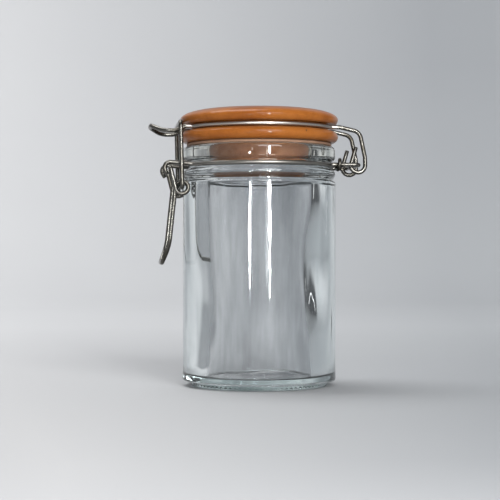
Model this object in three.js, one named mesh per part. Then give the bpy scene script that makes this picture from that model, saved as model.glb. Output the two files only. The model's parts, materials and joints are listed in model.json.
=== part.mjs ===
// A small clip-top jar: thick pressed glass, a glazed lid on a rubber ring, and a bent-wire closure.
// Millimetres, +Z up. The origin is on the jar's axis, on the plane that it stands on.
// The hinge is on the +X side, the latch on the -X side, and the wires are mirrored in Y.
import * as THREE from 'three';

// ---------- driving dimensions ----------
const GAP = 0.3; // clearance kept between touching pieces

const body = {
  radius: 28.7, footRadius: 25.4, footHeight: 2.1, sideTop: 75.3, notchRadius: 27.5, notchZ: 76.6,
  mouthRadius: 19.7, mouthFlare: 1.6, floor: 3.6, floorFillet: 0.9,
};
const bead = { r: 26.4, z: 78.8, radius: 2.05 }; // the round ring of glass under the neck wire
const neck = { z: 82.0, radius: 26.6, height: 3.2 }; // the groove that holds the neck wire
const rim = { bottom: 83.9, top: 89.2, radius: 28.5 };
const seal = { thickness: 0.75, inner: 19.1, outer: 26.9 };
const lidSize = {
  bottom: rim.top + GAP + seal.thickness + GAP, top: 103.0, radius: 29.6,
  grooveRadius: 25.8, grooveBottom: 94.95, grooveTop: 97.2,
  plugRadius: 18.6, plugBottom: 82.6, plugChamfer: 1.3, widest: 99.3, crownRadius: 16.5,
};
const wire = 0.8; // radius of the lid, neck, lever and link wires
const thinWire = 0.7; // radius of the tie wire

const hinge = { x: 35.8, z: 82.1, hook: 2.7, legY: 10.0, armY: 12.6, legTopX: 36.4, legTopZ: 94.4 };
const lidRing = { radius: 27.0, z: (lidSize.grooveBottom + lidSize.grooveTop) / 2 };
const neckRing = { radius: neck.radius + GAP + wire + 0.1 };
const pivot = { x: -33.8, z: 80.75, hook: 2.05, y: 12.5 }; // where the lever turns in the neck wire
const eye = { x: -29.6, z: 73.5, coil: 2.3 }; // where the link turns in the lever
const plane = { arm: 14.4, handle: 12.6, link: 16.3, stubEnd: 10.9 }; // distances from the XZ plane
const latch = { barX: -30.2, barZ: 97.4 }; // the link's bar, over the tongue
const tongue = {
  y: 10.3, z: 94.45, outX: -28.2, startX: -31.6, kneeX: -36.4, tipX: -40.6, tipY: 5.5, tipZ: 96.6,
};
const handle = { kneeX: -34.2, kneeZ: 52.3, tipX: -36.6, tipZ: 46.0, tipY: 8.0 };

const TURN = 48; // facets round the turned pieces
const WIRE_SIDES = 8;

// ---------- materials ----------
const finish = {
  glass: new THREE.MeshStandardMaterial({
    color: 0xb9c4c2, roughness: 0.05, metalness: 0, transparent: true, opacity: 0.35,
  }),
  glaze: new THREE.MeshStandardMaterial({ color: 0xb7713d, roughness: 0.2, metalness: 0 }),
  rubber: new THREE.MeshStandardMaterial({ color: 0xa1735a, roughness: 0.7, metalness: 0 }),
  steel: new THREE.MeshStandardMaterial({ color: 0x9c9388, roughness: 0.35, metalness: 1 }),
};

// ---------- shape helpers ----------
const radians = THREE.MathUtils.degToRad;

// Points of a circular arc in a plane, from one angle to another in degrees, both ends included.
function arc(cx, cy, radius, from, to, steps) {
  const points = [];
  for (let i = 0; i <= steps; i++) {
    const a = radians(from + ((to - from) * i) / steps);
    points.push([cx + radius * Math.cos(a), cy + radius * Math.sin(a)]);
  }
  return points;
}

// The same for a part of an ellipse.
function oval(cx, cy, halfWidth, halfHeight, from, to, steps) {
  return arc(0, 0, 1, from, to, steps).map(([x, y]) => [cx + x * halfWidth, cy + y * halfHeight]);
}

// A turned piece from [radius, z] points, listed so that the outside is on the right going up.
function turned(points) {
  return new THREE.LatheGeometry(points.map(([r, z]) => new THREE.Vector2(r, z)), TURN)
    .rotateX(Math.PI / 2);
}

// A curve through given points, one section at each, so that bends get steps and straights don't.
class WirePath extends THREE.Curve {
  constructor(points) {
    super();
    this.points = points;
  }

  getPoint(t, target = new THREE.Vector3()) {
    const last = this.points.length - 1;
    const at = Math.min(Math.max(t, 0), 1) * last;
    const i = Math.min(Math.floor(at), last - 1);
    return target.lerpVectors(this.points[i], this.points[i + 1], at - i);
  }

  getPointAt(u, target) {
    return this.getPoint(u, target);
  }

  // The direction at a section halves the angle between the stretches that meet there.
  getTangentAt(u, target = new THREE.Vector3()) {
    const last = this.points.length - 1;
    const i = Math.round(u * last);
    const before = this.points[Math.max(i, 1)].clone().sub(this.points[Math.max(i, 1) - 1]);
    const next = Math.min(i + 1, last);
    const after = this.points[next].clone().sub(this.points[next - 1]);
    return target.copy(before.normalize().add(after.normalize())).normalize();
  }
}

// Rounds each corner that has a bend radius: corners are [x, y, z] or [x, y, z, bendRadius].
function bent(corners) {
  const at = corners.map(([x, y, z]) => new THREE.Vector3(x, y, z));
  const points = [at[0]];
  for (let i = 1; i < at.length - 1; i++) {
    const bend = corners[i][3] ?? 0;
    const back = at[i - 1].clone().sub(at[i]);
    const ahead = at[i + 1].clone().sub(at[i]);
    const turn = Math.PI - back.angleTo(ahead);
    if (bend === 0 || turn < 0.05) {
      points.push(at[i]);
      continue;
    }
    const reach = Math.min(bend * Math.tan(turn / 2), back.length() * 0.49, ahead.length() * 0.49);
    const corner = new THREE.QuadraticBezierCurve3(
      at[i].clone().addScaledVector(back.normalize(), reach), at[i],
      at[i].clone().addScaledVector(ahead.normalize(), reach),
    );
    points.push(...corner.getPoints(Math.max(2, Math.ceil(turn / 0.4))));
  }
  points.push(at[at.length - 1]);
  return points;
}

function wireAlong(corners, radius) {
  const path = new WirePath(bent(corners));
  const section = new THREE.Shape(
    Array.from({ length: WIRE_SIDES }, (_, i) => {
      const a = ((i + 0.5) / WIRE_SIDES) * Math.PI * 2;
      return new THREE.Vector2(radius * Math.cos(a), radius * Math.sin(a));
    }),
  );
  return new THREE.ExtrudeGeometry(section, {
    extrudePath: path, steps: path.points.length - 1, bevelEnabled: false,
  });
}

// The same half run on the other side of the XZ plane, in the opposite order.
const mirrored = (corners) => corners.map(([x, y, z, bend]) => [x, -y, z, bend]).reverse();

// Corners of a level ring between two angles in degrees.
function ringRun(radius, z, from, to, steps) {
  return arc(0, 0, radius, from, to, steps).map(([x, y]) => [x, y, z]);
}

// Angle from the +X axis at which a ring of the given radius is at distance y from the XZ plane.
const angleAt = (y, radius) => THREE.MathUtils.radToDeg(Math.asin(y / radius));

// ---------- the jar ----------
function glassJar() {
  const b = body;
  const mouthTop = b.mouthRadius + b.mouthFlare;
  return turned([
    [0, 0], [b.footRadius - 0.6, 0], [b.footRadius, 0.5], [b.footRadius + 0.5, b.footHeight - 0.4],
    [b.radius - 0.3, b.footHeight + 0.1], [b.radius, b.footHeight + 1],
    [b.radius, b.sideTop], [b.radius - 0.35, b.sideTop + 0.8], [b.notchRadius, b.notchZ],
    ...arc(bead.r, bead.z, bead.radius, -55, 80, 7),
    [neck.radius, bead.z + bead.radius + 0.15], [neck.radius, neck.z + neck.height / 2],
    [rim.radius - 0.7, rim.bottom], [rim.radius, rim.bottom + 0.9], [rim.radius, rim.top - 1.2],
    [rim.radius - 1, rim.top], [mouthTop, rim.top], ...arc(mouthTop, rim.top - b.mouthFlare,
      b.mouthFlare, 130, 180, 2), [b.mouthRadius, b.floor + b.floorFillet],
    ...arc(b.mouthRadius - b.floorFillet, b.floor + b.floorFillet, b.floorFillet, -30, -90, 3),
    [0, b.floor],
  ]);
}

function lid() {
  const s = lidSize;
  const rollDown = (s.grooveBottom - s.bottom) / 2;
  return turned([
    [0, s.plugBottom], [s.plugRadius - s.plugChamfer, s.plugBottom],
    [s.plugRadius, s.plugBottom + s.plugChamfer], [s.plugRadius, s.bottom],
    ...arc(s.radius - rollDown, s.bottom + rollDown, rollDown, -90, 90, 8),
    [s.grooveRadius, s.grooveBottom], [s.grooveRadius, s.grooveTop],
    ...oval(s.radius - 1.5, s.widest, 1.5, s.widest - s.grooveTop, -90, 0, 3),
    ...oval(s.crownRadius, s.widest, s.radius - s.crownRadius, s.top - s.widest, 12, 90, 8),
    [0, s.top],
  ]);
}

function gasket() {
  const bottom = rim.top + GAP;
  const top = bottom + seal.thickness;
  return turned([
    [seal.inner, bottom], [seal.outer, bottom], [seal.outer + 0.3, (bottom + top) / 2],
    [seal.outer, top], [seal.inner, top], [seal.inner, bottom],
  ]);
}

// ---------- the wires ----------
// Half of the lid wire, from the free end of the -Y hook to the middle of the tongue.
function lidWire() {
  const h = hinge;
  const y = -h.legY;
  const hook = arc(h.x, h.z, h.hook, 180, 360, 6).map(([x, z]) => [x, y, z]);
  const legAngle = angleAt(h.legY, lidRing.radius);
  const tongueAngle = angleAt(tongue.y, lidRing.radius);
  const legStart = lidRing.radius * Math.cos(radians(legAngle));
  const half = [
    [h.x - 0.8, y, h.z + 6.6], ...hook,
    [h.x + h.hook - 0.1, y, h.z + 3, 4], [h.legTopX, y, h.legTopZ, 2.6],
    [legStart + 4, y, lidRing.z, 3], [legStart, y, lidRing.z, 2],
    ...ringRun(lidRing.radius, lidRing.z, -legAngle - 8, tongueAngle - 172, 11),
    [-lidRing.radius * Math.cos(radians(tongueAngle)), -tongue.y, lidRing.z, 2],
    [tongue.outX, -tongue.y, lidRing.z, 2], [tongue.startX, -tongue.y, tongue.z, 3],
    [tongue.kneeX, -tongue.y, tongue.z, 5], [tongue.tipX, -tongue.tipY, tongue.tipZ, 3],
  ];
  return wireAlong([...half, ...mirrored(half)], wire);
}

// From the free end of one pivot hook, round the neck to the hinge bar, and back on the other side.
function neckWire() {
  const hook = arc(pivot.x, pivot.z, pivot.hook, 205, 90, 5).map(([x, z]) => [x, -pivot.y, z]);
  const hookAngle = angleAt(pivot.y, neckRing.radius);
  const armAngle = angleAt(hinge.armY, neckRing.radius);
  const half = [
    [pivot.x - 1, -pivot.y, pivot.z - 2.4], ...hook,
    [-neckRing.radius * Math.cos(radians(hookAngle)), -pivot.y, neck.z, 2.2],
    ...ringRun(neckRing.radius, neck.z, hookAngle - 172, -armAngle - 8, 11),
    [neckRing.radius * Math.cos(radians(armAngle)), -hinge.armY, neck.z, 2.2],
    [hinge.x, -hinge.armY, hinge.z, 1.6],
  ];
  return wireAlong([...half, ...mirrored(half)], wire);
}

// An arc in the groove at the back; each end makes a turn and a quarter round an arm of the neck wire.
function neckTie() {
  const turns = 1.25;
  const steps = 13;
  const wrap = [];
  for (let i = 0; i <= steps; i++) {
    const a = radians(205 + (360 * turns * i) / steps);
    const r = wire + thinWire + GAP;
    const x = 27.6 + (1.9 * i) / steps;
    wrap.push([x, hinge.armY + r * Math.cos(a), hinge.z + r * Math.sin(a)]);
  }
  const half = [...ringRun(neckRing.radius, neck.z, 0, 18, 3), ...wrap];
  return wireAlong([...mirrored(half), ...half.slice(1)], thinWire);
}

// Pivot end, arm, coil eye, then the handle: each side's coil steps inwards by one wire.
function lever() {
  const toEye = Math.atan2(eye.z - pivot.z, eye.x - pivot.x);
  const reach = Math.hypot(eye.x - pivot.x, eye.z - pivot.z);
  const coilStart = THREE.MathUtils.radToDeg(toEye - Math.asin(eye.coil / reach)) + 270;
  const coilEnd = 534.1; // here the coil runs into the straight arm
  const steps = 15;
  const coil = arc(eye.x, eye.z, eye.coil, coilStart, coilEnd, steps)
    .map(([x, z], i) => [x, -plane.arm + ((plane.arm - plane.handle) * i) / steps, z]);
  const half = [
    [pivot.x, -plane.stubEnd, pivot.z], [pivot.x, -plane.arm, pivot.z, 1.0], ...coil,
    [handle.kneeX, -plane.handle, handle.kneeZ, 7], [handle.tipX, -handle.tipY, handle.tipZ, 4],
  ];
  return wireAlong([...half, ...mirrored(half)], wire);
}

function link() {
  const half = [
    [eye.x, -plane.stubEnd - 0.6, eye.z], [eye.x, -plane.link, eye.z, 1.2],
    [latch.barX, -plane.link, latch.barZ, 2.4],
  ];
  return wireAlong([...half, ...mirrored(half)], wire);
}

// ---------- assembly ----------
const group = new THREE.Group();
const pieces = [
  ['glass_jar', glassJar(), finish.glass],
  ['lid', lid(), finish.glaze],
  ['gasket', gasket(), finish.rubber],
  ['lid_wire', lidWire(), finish.steel],
  ['neck_wire', neckWire(), finish.steel],
  ['neck_tie', neckTie(), finish.steel],
  ['lever', lever(), finish.steel],
  ['link', link(), finish.steel],
];
for (const [name, geometry, material] of pieces) {
  const mesh = new THREE.Mesh(geometry, material);
  mesh.name = name;
  group.add(mesh);
}

export default group;
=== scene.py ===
# A clip-top glass jar in a pale studio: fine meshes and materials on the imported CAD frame.
# Metres, +Z up, the origin on the jar's axis at its foot; the hinge is at +X, the latch at -X.
# Outlines and centrelines are worked out in millimetres, and their points become metres.
import bpy
import json
import math
from mathutils import Matrix, Vector, noise


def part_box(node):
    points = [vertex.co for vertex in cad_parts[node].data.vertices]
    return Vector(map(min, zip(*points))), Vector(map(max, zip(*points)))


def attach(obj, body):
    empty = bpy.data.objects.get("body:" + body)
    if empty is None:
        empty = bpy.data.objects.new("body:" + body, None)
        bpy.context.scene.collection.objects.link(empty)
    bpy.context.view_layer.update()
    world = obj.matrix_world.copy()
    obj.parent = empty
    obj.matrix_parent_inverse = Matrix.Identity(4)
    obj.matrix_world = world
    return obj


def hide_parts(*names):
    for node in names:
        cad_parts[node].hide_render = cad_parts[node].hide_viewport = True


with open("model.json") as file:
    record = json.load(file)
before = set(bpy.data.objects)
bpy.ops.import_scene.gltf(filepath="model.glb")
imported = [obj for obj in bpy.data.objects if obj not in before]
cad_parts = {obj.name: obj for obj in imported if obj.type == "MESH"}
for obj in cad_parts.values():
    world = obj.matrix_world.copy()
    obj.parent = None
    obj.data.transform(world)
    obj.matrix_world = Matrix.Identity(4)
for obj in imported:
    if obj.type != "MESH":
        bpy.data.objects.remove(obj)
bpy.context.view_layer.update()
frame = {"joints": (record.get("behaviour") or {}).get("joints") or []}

MM = 0.001


# ---------- places from the frame, in millimetres ----------
def in_mm(vector):
    return Vector(vector) / MM


def joint_at(name):
    return in_mm(next(joint["pos_m"] for joint in frame["joints"] if joint["name"] == name))


GLASS_HIGH = in_mm(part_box("glass_jar")[1])
LID_LOW, LID_HIGH = map(in_mm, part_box("lid"))
SEAL_LOW, SEAL_HIGH = map(in_mm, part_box("gasket"))
HINGE = joint_at("lid_open")
PIVOT = joint_at("lever_flip")
EYE = joint_at("link_swing")

# The lid's groove, and the lid wire's ring in the middle of it.
GROOVE_LOW = 94.95
GROOVE_HIGH = 97.2
LID_RING_Z = (GROOVE_LOW + GROOVE_HIGH) / 2


# ---------- camera ----------
def make_camera():
    distance = 0.556
    sideways = -3.4 * MM
    height = 50.7 * MM
    turn = math.radians(5.5)  # the camera stands a little towards the latch
    data = bpy.data.cameras.new("camera")
    data.lens = 106.8
    data.sensor_width = 36
    camera = bpy.data.objects.new("camera", data)
    bpy.context.scene.collection.objects.link(camera)
    camera.location = Matrix.Rotation(-turn, 3, "Z") @ Vector((sideways, -distance, height))
    camera.rotation_euler = (math.radians(90), 0, -turn)
    bpy.context.scene.camera = camera


# ---------- lines in millimetres ----------
def fade(value, start, end):
    """0 up to start, 1 from end on, and straight in between."""
    return min(1.0, max(0.0, (value - start) / (end - start)))


def angles(start, end, count):
    """Even angles in radians between two in degrees, both ends included."""
    return [math.radians(start + (end - start) * i / count) for i in range(count + 1)]


def arc(centre_r, centre_z, radius, start, end, steps):
    """Points (r, z) of an arc between two angles in degrees."""
    return [(centre_r + radius * math.cos(a), centre_z + radius * math.sin(a))
            for a in angles(start, end, steps)]


def oval(centre_r, centre_z, half_r, half_z, start, end, steps):
    """Points (r, z) of a part of an ellipse, as arc() gives them for a circle."""
    return [(centre_r + r * half_r, centre_z + z * half_z)
            for r, z in arc(0, 0, 1, start, end, steps)]


def softened(outline, spacing):
    """Adds points along the straight stretches of an (r, z) outline, so that it can be waved."""
    points = [outline[0]]
    for (r0, z0), (r1, z1) in zip(outline, outline[1:]):
        count = max(1, math.ceil(math.hypot(r1 - r0, z1 - z0) / spacing))
        for i in range(1, count + 1):
            points.append((r0 + (r1 - r0) * i / count, z0 + (z1 - z0) * i / count))
    return points


def ring_run(radius, z, start, end):
    """Centreline points of a level ring between two angles in degrees, 3 degrees apart or less."""
    count = max(2, math.ceil(abs(end - start) / 3))
    return [(radius * math.cos(a), radius * math.sin(a), z) for a in angles(start, end, count)]


def hook_run(x, y, z, radius, start, end):
    """Centreline points of an arc in a plane of constant y, 12 degrees apart or less."""
    count = max(2, math.ceil(abs(end - start) / 12))
    return [(x + radius * math.cos(a), y, z + radius * math.sin(a))
            for a in angles(start, end, count)]


def mirrored(corners):
    """The same half on the other side of the XZ plane, in the opposite order."""
    return [(c[0], -c[1], c[2], *c[3:]) for c in reversed(corners)]


def rounded(corners):
    """A smooth centreline through corners (x, y, z[, bend radius])."""
    least_turn = 0.02  # radians: anything straighter stays a plain corner
    bend_step = 0.16  # radians between the points of a bend
    bend_share = 0.49  # of a straight stretch, at most, goes into one bend
    at = [Vector(c[:3]) for c in corners]
    points = [at[0]]
    for i in range(1, len(at) - 1):
        bend = corners[i][3] if len(corners[i]) > 3 else 0
        back = at[i - 1] - at[i]
        ahead = at[i + 1] - at[i]
        angle = back.angle(ahead)
        turn = math.pi - angle
        if bend == 0 or turn < least_turn:
            points.append(at[i])
            continue
        reach = min(bend / math.tan(angle / 2), back.length * bend_share, ahead.length * bend_share)
        radius = reach * math.tan(angle / 2)
        u = back.normalized()
        v = ahead.normalized()
        centre = at[i] + (u + v).normalized() * (radius / math.sin(angle / 2))
        first = at[i] + u * reach - centre
        last = at[i] + v * reach - centre
        steps = max(2, math.ceil(turn / bend_step))
        for k in range(steps + 1):
            points.append(centre + first.slerp(last, k / steps).normalized() * radius)
    points.append(at[-1])
    return points


# ---------- meshes ----------
def new_object(name, vertices, faces):
    mesh = bpy.data.meshes.new(name)
    mesh.from_pydata(vertices, [], faces)
    mesh.update()
    mesh.polygons.foreach_set("use_smooth", [True] * len(mesh.polygons))
    obj = bpy.data.objects.new(name, mesh)
    bpy.context.scene.collection.objects.link(obj)
    return obj


def turned(name, outline, turns, wave=None, closed=False):
    """A piece turned from (r, z) millimetres. wave(r, z, angle) gives a change of radius in mm."""
    vertices = []
    faces = []
    rows = []
    for r, z in outline:
        if r < 1e-6:
            rows.append([len(vertices)])
            vertices.append((0, 0, z * MM))
            continue
        row = []
        for j in range(turns):
            a = math.tau * j / turns
            waved = r + (wave(r, z, a) if wave else 0)
            row.append(len(vertices))
            vertices.append((waved * math.cos(a) * MM, waved * math.sin(a) * MM, z * MM))
        rows.append(row)
    pairs = list(zip(rows, rows[1:])) + ([(rows[-1], rows[0])] if closed else [])
    for low, high in pairs:
        for j in range(turns):
            k = (j + 1) % turns
            if len(low) == 1:
                faces.append((low[0], high[k], high[j]))
            elif len(high) == 1:
                faces.append((low[j], low[k], high[0]))
            else:
                faces.append((low[j], low[k], high[k], high[j]))
    return new_object(name, vertices, faces)


def swirl(a, z, around, up, seed=0):
    """Smooth noise on a turned surface. around and up say how fast it changes each way."""
    return noise.noise(Vector((math.cos(a) * around, math.sin(a) * around, z * up + seed)))


def sections_along(path):
    """(point, tangent, normal, length so far) at each point of a centreline, without twist."""
    tangents = []
    for i in range(len(path)):
        before = (path[i] - path[i - 1]).normalized() if i else (path[1] - path[0]).normalized()
        after = (path[i + 1] - path[i]).normalized() if i + 1 < len(path) else before
        tangents.append((before + after).normalized())
    normal = tangents[0].orthogonal().normalized()
    sections = []
    length = 0.0
    for i, (p, t) in enumerate(zip(path, tangents)):
        if i:
            length += (p - path[i - 1]).length
            normal = tangents[i - 1].rotation_difference(t) @ normal
            normal = (normal - t * normal.dot(t)).normalized()
        sections.append((p, t, normal.copy(), length))
    return sections


def wire(name, corners, radius):
    """A round wire along a centreline in millimetres, with slightly domed cut ends and UVs in mm."""
    sides = 16
    least_step = 0.05
    dome = [(0.16, 0.72), (0.08, 0.9)]  # how far a cut end stands out, and its size, in radii
    path = []
    for p in rounded(corners):
        if not path or (p - path[-1]).length > least_step:
            path.append(p)
    sections = sections_along(path)
    start, start_tangent, *start_rest = sections[0]
    end, end_tangent, *end_rest = sections[-1]
    rings = []
    for out, share in dome:
        rings.append((start - start_tangent * out * radius, start_tangent, *start_rest, share))
    for section in sections:
        rings.append((*section, 1.0))
    for out, share in reversed(dome):
        rings.append((end + end_tangent * out * radius, end_tangent, *end_rest, share))
    vertices = []
    uvs = []
    for p, t, n, length, share in rings:
        side = t.cross(n)
        for j in range(sides):
            a = math.tau * j / sides
            vertices.append((p + (n * math.cos(a) + side * math.sin(a)) * radius * share) * MM)
            uvs.append((j / sides, length))
    faces = []
    for i in range(len(rings) - 1):
        low = i * sides
        high = low + sides
        for j in range(sides):
            k = (j + 1) % sides
            faces.append((low + j, low + k, high + k, high + j))
    faces.append(tuple(reversed(range(sides))))
    faces.append(tuple(range((len(rings) - 1) * sides, len(rings) * sides)))
    obj = new_object(name, vertices, faces)
    layer = obj.data.uv_layers.new(name="along")
    for polygon in obj.data.polygons:
        columns = [v % sides for v in polygon.vertices]
        wraps = 0 in columns and sides - 1 in columns and len(columns) == 4
        for loop in polygon.loop_indices:
            v = obj.data.loops[loop].vertex_index
            u, length = uvs[v]
            layer.data[loop].uv = (1.0 if wraps and v % sides == 0 else u, length)
    return obj


# ---------- nodes ----------
BLACK = (0, 0, 0)
WHITE = (1, 1, 1)


class Shader:
    """A Principled material: its plain socket values, then short calls for nodes that vary them."""

    def __init__(self, name, **sockets):
        self.material = bpy.data.materials.new(name)
        self.material.use_nodes = True
        self.nodes = self.material.node_tree.nodes
        self.links = self.material.node_tree.links
        self.main = self.nodes["Principled BSDF"]
        for key, value in sockets.items():
            self.main.inputs[key.replace("_", " ")].default_value = value

    def add(self, kind, **settings):
        """A new node. A setting is the node's own property, or else one of its sockets."""
        node = self.nodes.new(kind)
        for key, value in settings.items():
            if hasattr(node, key):
                setattr(node, key, value)
            else:
                node.inputs[key.replace("_", " ")].default_value = value
        return node

    def feed(self, socket, output):
        self.links.new(output, self.main.inputs[socket])

    def coords(self, output="Object", scale=(1, 1, 1)):
        source = self.add("ShaderNodeTexCoord")
        mapping = self.add("ShaderNodeMapping", Scale=scale)
        self.links.new(source.outputs[output], mapping.inputs["Vector"])
        return mapping.outputs["Vector"]

    def axis(self, vector, letter):
        node = self.add("ShaderNodeSeparateXYZ")
        self.links.new(vector, node.inputs["Vector"])
        return node.outputs[letter]

    def length(self, vector):
        node = self.add("ShaderNodeVectorMath", operation="LENGTH")
        self.links.new(vector, node.inputs[0])
        return node.outputs["Value"]

    def divide(self, value, divisor):
        node = self.add("ShaderNodeMath", operation="DIVIDE")
        self.links.new(value, node.inputs[0])
        self.links.new(divisor, node.inputs[1])
        return node.outputs["Value"]

    def attribute(self, name):
        return self.add("ShaderNodeAttribute", attribute_name=name).outputs["Fac"]

    def noise(self, vector, scale, detail=2.0, roughness=0.5):
        node = self.add("ShaderNodeTexNoise", Scale=scale, Detail=detail, Roughness=roughness)
        self.links.new(vector, node.inputs["Vector"])
        return node.outputs["Fac"]

    def ramp(self, factor, *stops):
        node = self.add("ShaderNodeValToRGB")
        elements = node.color_ramp.elements
        while len(elements) < len(stops):
            elements.new(0.5)
        for element, (position, colour) in zip(elements, stops):
            element.position = position
            element.color = (*colour, 1)
        self.links.new(factor, node.inputs["Fac"])
        return node.outputs["Color"]

    def spread(self, factor, low, high, start=0.0, end=1.0):
        """Turns start to end into low to high, and stays there outside them."""
        node = self.add("ShaderNodeMapRange")
        node.inputs["From Min"].default_value = start
        node.inputs["From Max"].default_value = end
        node.inputs["To Min"].default_value = low
        node.inputs["To Max"].default_value = high
        self.links.new(factor, node.inputs["Value"])
        return node.outputs["Result"]

    def rise(self, factor, start, end):
        return self.spread(factor, 0, 1, start, end)

    def fall(self, factor, start, end):
        return self.spread(factor, 1, 0, start, end)

    def mix(self, factor, first, second, blend="MIX"):
        node = self.add("ShaderNodeMix", data_type="RGBA", blend_type=blend)
        for socket, value in ((0, factor), (6, first), (7, second)):
            if isinstance(value, (int, float)):
                node.inputs[socket].default_value = value
            elif isinstance(value, tuple):
                node.inputs[socket].default_value = (*value, 1)
            else:
                self.links.new(value, node.inputs[socket])
        return node.outputs[2]

    def bump(self, height, distance, strength, normal=None):
        node = self.add("ShaderNodeBump", Strength=strength, Distance=distance)
        self.links.new(height, node.inputs["Height"])
        if normal:
            self.links.new(normal, node.inputs["Normal"])
        return node.outputs["Normal"]


def dress(obj, shader):
    obj.data.materials.clear()
    obj.data.materials.append(shader.material)


# ---------- materials ----------
def glass_material():
    """Pressed glass, greenish in its depth. Painted shade: a streaky grey inside the walls, deeper
    towards the neck, a brownish tint on the rim and a darker side of the foot.
    """
    s = Shader("pressed_glass", Roughness=0.015, IOR=1.51, Transmission_Weight=1.0)
    surface = s.coords()
    height = s.axis(surface, "Z")
    ripple = s.noise(surface, 55, detail=1.5)
    grain = s.noise(surface, 900, detail=2)
    rippled = s.bump(ripple, 0.0002, 0.35)
    s.feed("Normal", s.bump(grain, 0.000004, 0.3, rippled))
    s.feed("Roughness", s.spread(grain, 0.008, 0.03))
    # Painted shade: a streaky grey sheet inside the walls darkens what is seen through the jar.
    streaks = s.noise(s.coords(scale=(1, 1, 0.16)), 120, detail=4, roughness=0.6)
    shade_film = s.ramp(streaks, (0.31, (0.48, 0.485, 0.50)), (0.69, (0.90, 0.90, 0.91)))
    # The painted shade grows deeper towards the neck.
    deeper_shade_high = s.rise(height, 0.05, 0.074)
    shade_film = s.mix(deeper_shade_high, shade_film, (0.85, 0.855, 0.865), "MULTIPLY")
    # Painted shade: a brownish-grey tint on the rim glass.
    rim = s.rise(height, 0.083, 0.0845)
    clear = s.mix(rim, (0.97, 0.975, 0.98), (0.87, 0.845, 0.80))
    colour = s.mix(s.attribute("inside"), clear, shade_film)
    # Painted shade: the foot's side is darker, in a noisy pattern.
    foot_shade_noise = s.noise(s.coords(scale=(1, 1, 2)), 90, detail=3)
    darkened = s.ramp(foot_shade_noise, (0.42, (0.46, 0.52, 0.51)), (0.62, (0.86, 0.89, 0.89)))
    s.feed("Base Color", s.mix(s.attribute("foot_shade"), colour, darkened))
    tint = s.add("ShaderNodeVolumeAbsorption", Color=(0.62, 0.75, 0.75, 1), Density=16)
    output = next(node for node in s.nodes if node.type == "OUTPUT_MATERIAL")
    s.links.new(tint.outputs["Volume"], output.inputs["Volume"])
    return s


def glaze_material():
    """Mottled orange glaze with a few dark specks, a crown darkened as painted shade, and a matte
    plug painted lighter as painted light.
    """
    s = Shader("orange_glaze", Roughness=0.34, Specular_IOR_Level=0.05, Coat_Roughness=0.07,
               Coat_IOR=1.4)
    place = s.coords()
    height = s.axis(place, "Z")
    cloud = s.noise(place, 70, detail=4, roughness=0.6)
    fine = s.noise(place, 420, detail=5, roughness=0.65)
    colour = s.ramp(cloud, (0.3, (0.20, 0.056, 0.0095)), (0.52, (0.26, 0.083, 0.0145)),
                    (0.75, (0.30, 0.105, 0.021)))
    mottle = s.ramp(fine, (0.35, (0.8, 0.76, 0.7)), (0.6, WHITE))
    colour = s.mix(0.55, colour, mottle, "MULTIPLY")
    speck = s.noise(s.coords(scale=(1, 1, 1.4)), 260, detail=1)
    dots = s.ramp(speck, (0.755, BLACK), (0.79, WHITE))
    colour = s.mix(dots, colour, (0.06, 0.025, 0.012))
    # Painted shade: the lid's crown is darkened.
    crown = s.rise(height, 0.1008, 0.1026)
    colour = s.mix(crown, colour, (0.62, 0.55, 0.55), "MULTIPLY")
    # Painted light: the plug is a lighter, matte colour.
    plug_painted_light = s.ramp(fine, (0.3, (0.34, 0.145, 0.07)), (0.7, (0.46, 0.22, 0.115)))
    glazed = s.rise(height, 0.0896, 0.0908)
    s.feed("Base Color", s.mix(glazed, plug_painted_light, colour))
    s.feed("Roughness", s.spread(fine, 0.27, 0.42))
    shine = s.spread(crown, 0.32, 0.06)
    s.feed("Coat Weight", s.mix(glazed, BLACK, shine))
    skin = s.bump(s.noise(place, 110, detail=2), 0.0003, 0.5)
    s.feed("Normal", s.bump(fine, 0.00003, 0.5, skin))
    s.feed("Coat Normal", skin)
    return s


def rubber_material():
    s = Shader("tan_rubber", Roughness=0.62, IOR=1.45)
    place = s.coords()
    cloud = s.noise(place, 160, detail=4)
    s.feed("Base Color", s.ramp(cloud, (0.3, (0.22, 0.125, 0.078)), (0.7, (0.30, 0.18, 0.115))))
    s.feed("Roughness", s.spread(cloud, 0.5, 0.72))
    s.feed("Normal", s.bump(s.noise(place, 1600, detail=3), 0.00002, 0.6))
    return s


def steel_material():
    """Drawn steel wire with dark stains; the two rings in their grooves are painted lighter, the
    lid's ring most, as painted light.
    """
    s = Shader("steel_wire", Metallic=1.0, Roughness=0.3)
    drawn = s.noise(s.coords("UV", scale=(18, 0.35, 1)), 1.0, detail=4, roughness=0.6)
    place = s.coords()
    tarnish = s.noise(place, 130, detail=5, roughness=0.65)
    clean = s.ramp(drawn, (0.25, (0.085, 0.082, 0.074)), (0.75, (0.17, 0.165, 0.15)))
    stained = s.ramp(tarnish, (0.42, BLACK), (0.7, WHITE))
    darkened = s.mix(stained, clean, (0.05, 0.043, 0.032))
    # Painted light: the rings in their grooves get a lighter colour, the lid's ring lighter still.
    from_axis = s.length(s.coords(scale=(1, 1, 0)))
    sheltered = s.fall(from_axis, 0.0285, 0.0305)
    high = s.rise(s.axis(place, "Z"), 0.084, 0.09)
    painted_light = s.mix(high, (0.24, 0.23, 0.21), (0.48, 0.455, 0.42))
    s.feed("Base Color", s.mix(sheltered, darkened, painted_light))
    rough = s.spread(tarnish, 0.20, 0.38, 0.3, 0.75)
    s.feed("Roughness", s.mix(sheltered, rough, (0.36, 0.36, 0.36)))
    s.feed("Normal", s.bump(drawn, 0.00002, 0.5))
    return s


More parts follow.
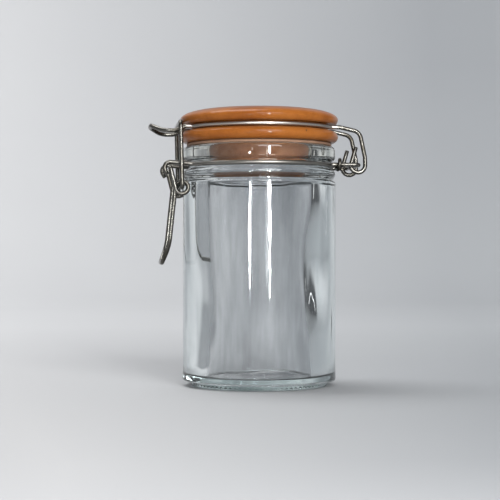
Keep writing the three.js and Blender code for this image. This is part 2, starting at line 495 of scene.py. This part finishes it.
# ---------- glass, lid and seal ----------
def make_glass():
    outer = GLASS_HIGH.x
    wall = outer - 0.05
    top = GLASS_HIGH.z
    foot = 25.4
    hollow = 22.4  # the hollow under the foot
    hollow_depth = 0.9
    corner = 0.7  # radius of the foot's and the heel's edges
    heel_z = 2.85
    wall_low = 4.8
    wall_high = 74.8
    shoulder = 0.8
    shoulder_z = 75.4
    notch = 0.35  # a fine line between the shoulder and the bead
    notch_z = 76.8
    bead = 2.05  # the bead under the neck wire
    bead_r = 26.4
    bead_z = 78.8
    neck = 26.6
    neck_low = 81.3
    neck_high = 83.2
    rim = outer - 0.2
    rim_z = 85.2
    rim_edge = 1.5
    mouth = 19.7
    mouth_edge = 1.6
    floor = 3.6
    fillet = 0.9
    knurls = 84
    knurl_top = 1.5
    knurl_depth = 0.2
    knurl_inner = 21
    inset = 0.02  # of the smooth bands above and below the rippled wall

    under = [(0, 1.0), (hollow - 1.9, 0.8),
             *arc(hollow, hollow_depth, hollow_depth, 180, 270, 5)[1:], (foot - corner, 0)]
    heel = [*arc(foot - corner, corner, corner, -90, 0, 4)[1:], (foot + 0.1, 1.4),
            *arc(foot + 0.8, 1.45, corner, 180, 120, 3)[1:], (outer - 1.0, 2.15),
            *arc(outer - corner, heel_z, corner, -80, 0, 5), (wall, wall_low)]
    side = [(wall, wall_high), *arc(wall - shoulder, shoulder_z, shoulder, 4, 66, 5),
            *arc(outer - 0.95, notch_z, notch, 250, 150, 4)]
    collar = [*arc(bead_r, bead_z, bead, -52, 78, 13), (neck + 0.06, neck_low - 0.3),
              (neck, neck_low), (neck, neck_high), *arc(rim - rim_edge, rim_z, rim_edge, -75, 0, 6),
              (rim, top - 1.6), *arc(rim - rim_edge, top - rim_edge, rim_edge, 0, 90, 7)]
    bore = [*arc(mouth + mouth_edge, top - mouth_edge, mouth_edge, 90, 180, 7), (mouth, 80),
            (mouth, floor + 3), *arc(mouth - fillet, floor + fillet, fillet, 0, -88, 8),
            (0, floor - 0.15)]
    outline = [*under, *heel, *side, *collar, *bore]

    def ridge(a, z, angle, centre_z, half_height, size):
        """A soft swelling of the inner wall, centred at an angle and a height."""
        half_width = 0.40  # radians
        off = math.remainder(a - math.radians(angle), math.tau) / half_width
        return size * math.exp(-off * off - ((z - centre_z) / half_height) ** 2)

    def wave(r, z, a):
        """Swells of the bore, knurls on the foot, and faint ripples on the outer wall."""
        if z > floor - 0.5 and r < neck - 0.5:
            depth = fade(z, 77, 67) * fade(z, 4, 11)
            slow = swirl(a, z, 1.3, 0.012, 3)
            quick = swirl(a, z, 5.0, 0.03, 9)
            swell = ridge(a, z, -22, 46, 14, 1.4) + ridge(a, z, -170, 31, 18, 0.9)
            return depth * (0.35 * slow + 0.14 * quick - swell)
        if z < knurl_top and r > knurl_inner:
            return -knurl_depth * (0.5 + 0.5 * math.cos(knurls * a)) * (knurl_top - z) / knurl_top
        if not 6 < z < 74:
            return -inset
        slow = swirl(a, z, 2.2, 0.05)
        quick = swirl(a, z, 8.0, 0.11, 4)
        fine = swirl(a, z, 15.0, 0.3, 1)
        return -0.09 + 0.05 * slow + 0.022 * quick + 0.011 * fine

    obj = turned("glass_body", softened(outline, 1.6), 4 * knurls, wave)
    inside = obj.data.attributes.new("inside", "FLOAT", "POINT")
    foot_shade = obj.data.attributes.new("foot_shade", "FLOAT", "POINT")
    # The inner wall takes the painted shade film, and the foot's side its painted shade.
    for vertex, shade_film, darkened in zip(obj.data.vertices, inside.data, foot_shade.data):
        place = in_mm(vertex.co)
        r = math.hypot(place.x, place.y)
        shade_film.value = 1.0 if 4.4 < place.z < 80 and r < (mouth + neck) / 2 else 0.0
        darkened.value = 1.0 if place.z < 2.1 and r > knurl_inner else 0.0
    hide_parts("glass_jar")
    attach(obj, "jar")
    return obj


def make_lid():
    radius = LID_HIGH.x
    top = LID_HIGH.z
    bottom = SEAL_HIGH.z + 0.3
    plug_bottom = LID_LOW.z
    plug = 18.6
    plug_edge = 1.4
    groove = 25.8
    roll_low = (GROOVE_LOW - bottom) / 2
    widest = GROOVE_HIGH + 2.1  # the height at which the upper roll is as wide as the lid
    roll_depth = 1.5
    crown = 16.5

    stopper = [(0, plug_bottom + 0.4), (plug - 3, plug_bottom + 0.3),
               *arc(plug - plug_edge, plug_bottom + plug_edge, plug_edge, -90, 0, 6),
               (plug, bottom - 0.4), (plug + 0.3, bottom)]
    lower_roll = arc(radius - roll_low, bottom + roll_low, roll_low, -90, 78, 16)
    channel = [(groove + 0.6, GROOVE_LOW - 0.05), (groove, GROOVE_LOW + 0.4),
               (groove, GROOVE_HIGH - 0.4), (groove + 0.6, GROOVE_HIGH + 0.05)]
    roll_high = widest - GROOVE_HIGH - 0.05
    upper_roll = [*oval(radius - roll_depth, widest, roll_depth, roll_high, -88, 0, 7),
                  *oval(crown, widest, radius - crown, top - widest, 0, 90, 22)[1:], (0, top)]
    outline = [*stopper, *lower_roll, *channel, *upper_roll]

    def wave(r, z, a):
        return -0.07 + 0.08 * swirl(a, z, 1.8, 0.12, 5) if r > 27 else 0

    obj = turned("glazed_lid", softened(outline, 1.4), 144, wave)
    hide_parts("lid")
    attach(obj, "lid")
    return obj


def make_seal():
    low = SEAL_LOW.z - 0.2
    high = SEAL_HIGH.z + 0.2
    half = (high - low) / 2
    inner = 19.1
    outer = SEAL_HIGH.x
    chamfer = 0.2
    outline = [(inner, low + chamfer), (inner + chamfer, low), (outer - 0.7, low),
               *arc(outer - half - 0.05, low + half, half, -80, 80, 8), (outer - 0.7, high),
               (inner + chamfer, high), (inner, high - chamfer)]

    def wave(r, z, a):
        return -0.05 + 0.05 * swirl(a, z, 2, 0, 7)

    obj = turned("rubber_seal", outline, 144, wave, closed=True)
    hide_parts("gasket")
    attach(obj, "lid")
    return obj


# ---------- wires, in millimetres ----------
WIRE = 0.8  # radius of every wire but the tie
TIE_WIRE = 0.7
LID_RING = 27.0  # the rings' centrelines
NECK_RING = 27.8
LEG_Y = 10.0  # how far each half stands from the XZ plane
ARM_Y = 12.6
TONGUE_Y = 10.3
PIVOT_Y = 12.5
LEVER_ARM_Y = 14.4
HANDLE_Y = 12.6
LINK_Y = 16.3
STUB_END = 10.9  # the lever's and the link's inner ends
RING_GAP = 8  # degrees between a ring's round stretch and the bend that leaves it
HINGE_HOOK = 2.7  # radii of the hooks' and the coils' centrelines
PIVOT_HOOK = 2.05
COIL = 2.3
COIL_END = 534.1  # the angle in degrees where a coil runs into the handle
LEG_TOP = 94.4
TONGUE_Z = 94.45
TONGUE_BENDS = (-28.2, -31.6, -36.4)  # x where it turns down, levels out and turns up
TONGUE_TIP = (-40.6, 5.5, 96.6)
LINK_BAR = (-30.2, 97.4)
HANDLE_KNEE = (-34.2, 52.3)
HANDLE_TIP = (-36.6, 8.0, 46.0)


def angle_at(y, radius):
    """The angle in degrees at which a ring is y from the XZ plane."""
    return math.degrees(math.asin(y / radius))


def across_at(y, radius):
    """How far from the YZ plane a ring is where it is y from the XZ plane."""
    return radius * math.cos(math.radians(angle_at(y, radius)))


def make_lid_wire():
    """On each side a hinge hook, a leg and half of the ring; the tongue joins the sides."""
    hook = [(HINGE.x - 0.8, -LEG_Y, HINGE.z + 6.6),
            *hook_run(HINGE.x, -LEG_Y, HINGE.z, HINGE_HOOK, 180, 360)]
    leg_end = across_at(LEG_Y, LID_RING)
    leg = [(HINGE.x + HINGE_HOOK - 0.1, -LEG_Y, HINGE.z + 3, 6),
           (HINGE.x + 0.6, -LEG_Y, LEG_TOP, 3.4),
           (leg_end + 4, -LEG_Y, LID_RING_Z, 4), (leg_end, -LEG_Y, LID_RING_Z, 2)]
    ring = ring_run(LID_RING, LID_RING_Z, -angle_at(LEG_Y, LID_RING) - RING_GAP,
                    angle_at(TONGUE_Y, LID_RING) - 180 + RING_GAP)
    down, level, up = TONGUE_BENDS
    tip_x, tip_y, tip_z = TONGUE_TIP
    tongue = [(-across_at(TONGUE_Y, LID_RING), -TONGUE_Y, LID_RING_Z, 2),
              (down, -TONGUE_Y, LID_RING_Z, 2), (level, -TONGUE_Y, TONGUE_Z, 4),
              (up, -TONGUE_Y, TONGUE_Z, 7), (tip_x, -tip_y, tip_z, 3.4)]
    half = [*hook, *leg, *ring, *tongue]
    obj = wire("lid_bail", [*half, *mirrored(half)], WIRE)
    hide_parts("lid_wire")
    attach(obj, "lid")
    return obj


def make_neck_wire():
    """On each side a pivot hook and half of the ring; the hinge bar joins the sides."""
    hook = [(PIVOT.x - 1, -PIVOT_Y, PIVOT.z - 2.4),
            *hook_run(PIVOT.x, -PIVOT_Y, PIVOT.z, PIVOT_HOOK, 205, 90)]
    ring = [(-across_at(PIVOT_Y, NECK_RING), -PIVOT_Y, HINGE.z, 2.2),
            *ring_run(NECK_RING, HINGE.z, angle_at(PIVOT_Y, NECK_RING) - 180 + RING_GAP,
                      -angle_at(ARM_Y, NECK_RING) - RING_GAP),
            (across_at(ARM_Y, NECK_RING), -ARM_Y, HINGE.z, 2.2)]
    half = [*hook, *ring, (HINGE.x, -ARM_Y, HINGE.z, 1.6)]
    obj = wire("neck_bail", [*half, *mirrored(half)], WIRE)
    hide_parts("neck_wire")
    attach(obj, "jar")
    return obj


def make_neck_tie():
    """A short piece of the ring, with its ends wound round the arms of the hinge bar."""
    winding = WIRE + TIE_WIRE + 0.3
    start_x = 27.6
    length = 1.9
    start = 205
    turns = 1.25
    steps = 52
    wrap = [(start_x + length * i / steps, ARM_Y + winding * math.cos(a),
             HINGE.z + winding * math.sin(a))
            for i, a in enumerate(angles(start, start + 360 * turns, steps))]
    half = [*ring_run(NECK_RING, HINGE.z, 0, 18), *wrap]
    obj = wire("tie_wire", [*mirrored(half), *half[1:]], TIE_WIRE)
    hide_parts("neck_tie")
    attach(obj, "jar")
    return obj


def make_lever():
    """On each side a pivot end, an arm, a coil round the link's end and a side of the handle."""
    to_eye = math.atan2(EYE.z - PIVOT.z, EYE.x - PIVOT.x)
    reach = math.hypot(EYE.x - PIVOT.x, EYE.z - PIVOT.z)
    start = math.degrees(to_eye - math.asin(COIL / reach)) + 270
    coil = hook_run(EYE.x, 0, EYE.z, COIL, start, COIL_END)
    shift = (LEVER_ARM_Y - HANDLE_Y) / (len(coil) - 1)
    coil = [(x, -LEVER_ARM_Y + shift * i, z) for i, (x, _, z) in enumerate(coil)]
    knee_x, knee_z = HANDLE_KNEE
    tip_x, tip_y, tip_z = HANDLE_TIP
    half = [(PIVOT.x, -STUB_END, PIVOT.z), (PIVOT.x, -LEVER_ARM_Y, PIVOT.z, 1.0), *coil,
            (knee_x, -HANDLE_Y, knee_z, 10), (tip_x, -tip_y, tip_z, 4)]
    obj = wire("lever_bail", [*half, *mirrored(half)], WIRE)
    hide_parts("lever")
    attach(obj, "lever")
    return obj


def make_link():
    """An upright on each side, its lower end in the lever's coil; the bar above joins them."""
    bar_x, bar_z = LINK_BAR
    half = [(EYE.x, -STUB_END - 0.6, EYE.z), (EYE.x, -LINK_Y, EYE.z, 1.2),
            (bar_x, -LINK_Y, bar_z, 2.4)]
    obj = wire("link_bail", [*half, *mirrored(half)], WIRE)
    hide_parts("link")
    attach(obj, "link")
    return obj


# ---------- studio ----------
def paper_material():
    """Pale paper with painted light and shade: darker towards the right and the front, with grey
    stretches of wall at the sides.

    aside is x as a share of a width that grows with the depth y, so lines of equal aside fan out
    from the front. The main view's edges lie at about -0.3 and 0.32.
    """
    s = Shader("studio_paper", Roughness=0.9, IOR=1.3)
    place = s.coords()
    x, y, z = (s.axis(place, letter) for letter in "XYZ")
    aside = s.divide(x, s.spread(y, 0.22, 1.3, -0.2, 1.6))
    # Painted shade: the paper darkens from left to right.
    across = s.rise(aside, -0.3, 0.32)
    shaded = s.mix(s.rise(z, 0.03, 0.3), (0.35, 0.363, 0.376), (0.30, 0.312, 0.326))
    paper = s.mix(across, (0.545, 0.547, 0.552), shaded)
    # Painted light: a paler stretch of wall far to the right.
    painted_light = s.mix(s.rise(z, 0, 0.2), BLACK, s.rise(aside, 0.39, 0.6))
    paper = s.mix(painted_light, paper, (0.66, 0.665, 0.672))
    # Painted shade on the floor towards the front.
    near_shade = s.mix(across, (0.76, 0.76, 0.76), (0.60, 0.61, 0.62))
    paper = s.mix(s.fall(y, -0.25, 0.42), paper, near_shade, "MULTIPLY")

    # Painted shade: the wall in front and the wall above 0.5 m are dimmer.
    dim = (0.46, 0.465, 0.475)
    wall = s.mix(s.rise(y, -0.35, 0.2), dim, paper)
    # Painted shade: a grey stretch of wall at the left.
    left_shade = s.mix(s.fall(aside, -2.9, -2.1), s.fall(aside, -0.8, -0.35), BLACK)
    wall = s.mix(left_shade, wall, (0.22, 0.225, 0.235))
    # Painted shade: a dark stretch of wall at the right, above the floor.
    flank_shade = s.mix(s.rise(aside, 2.3, 2.9), s.rise(aside, 1.15, 1.5), BLACK)
    flank_shade = s.mix(s.rise(z, 0.0, 0.05), BLACK, flank_shade)
    wall = s.mix(flank_shade, wall, (0.06, 0.062, 0.066))
    wall = s.mix(s.rise(z, 0.5, 0.9), wall, dim)

    near = s.fall(s.length(place), 0.2, 0.55)
    grain = s.ramp(s.noise(place, 3, detail=3), (0.3, (0.97, 0.97, 0.975)), (0.7, WHITE))
    s.feed("Base Color", s.mix(1.0, s.mix(near, wall, paper), grain, "MULTIPLY"))
    s.feed("Normal", s.bump(s.noise(place, 700, detail=3), 0.00004, 0.3))
    return s


def make_studio():
    """A floor that curves up into a round wall, as one smooth turned sheet."""
    flat = 900
    curve = 700
    height = 2300
    outline = [(0, 0), (60, 0), (200, 0), (500, 0), (flat, 0),
               *arc(flat, curve, curve, -90, 0, 16)[1:], (flat + curve, height)]
    studio = turned("studio", outline, 96)
    studio.data.flip_normals()
    dress(studio, paper_material())


def area_light(name, location, target, size, power, shape="RECTANGLE"):
    data = bpy.data.lights.new(name, "AREA")
    data.shape = shape
    data.size, data.size_y = size
    data.energy = power
    light = bpy.data.objects.new(name, data)
    bpy.context.scene.collection.objects.link(light)
    light.location = location
    aim = Vector(target) - Vector(location)
    light.rotation_euler = aim.to_track_quat("-Z", "Y").to_euler()
    light.visible_camera = False


def make_lights():
    """Two large soft lights, two upright strips for the window streaks, and a faint edge light."""
    world = bpy.data.worlds.new("world")
    world.use_nodes = True
    background = world.node_tree.nodes["Background"]
    background.inputs["Color"].default_value = (0.80, 0.83, 0.88, 1)
    background.inputs["Strength"].default_value = 0.18
    bpy.context.scene.world = world
    middle = (0, 0, 0.06)
    area_light("soft_front", (0.25, -1.3, 0.75), (0, 0, 0.05), (0.9, 0.9), 21)
    area_light("soft_back", (-0.5, 0.5, 1.7), (-0.2, 1.2, 0.2), (1.2, 1.2), 33)
    area_light("window_strip", (0.09, -0.56, 0.104), middle, (0.034, 0.18), 1.8, "ELLIPSE")
    area_light("second_strip", (-0.185, -0.536, 0.059), middle, (0.032, 0.074), 0.45, "ELLIPSE")
    area_light("edge_right", (1.08, 0.48, 0.2), middle, (0.02, 0.36), 0.035)


make_camera()
make_studio()
make_lights()
bpy.context.scene.view_settings.view_transform = "Standard"

dress(make_glass(), glass_material())
dress(make_lid(), glaze_material())
dress(make_seal(), rubber_material())
STEEL = steel_material()
for make in (make_lid_wire, make_neck_wire, make_neck_tie, make_lever, make_link):
    piece = make()
    dress(piece, STEEL)
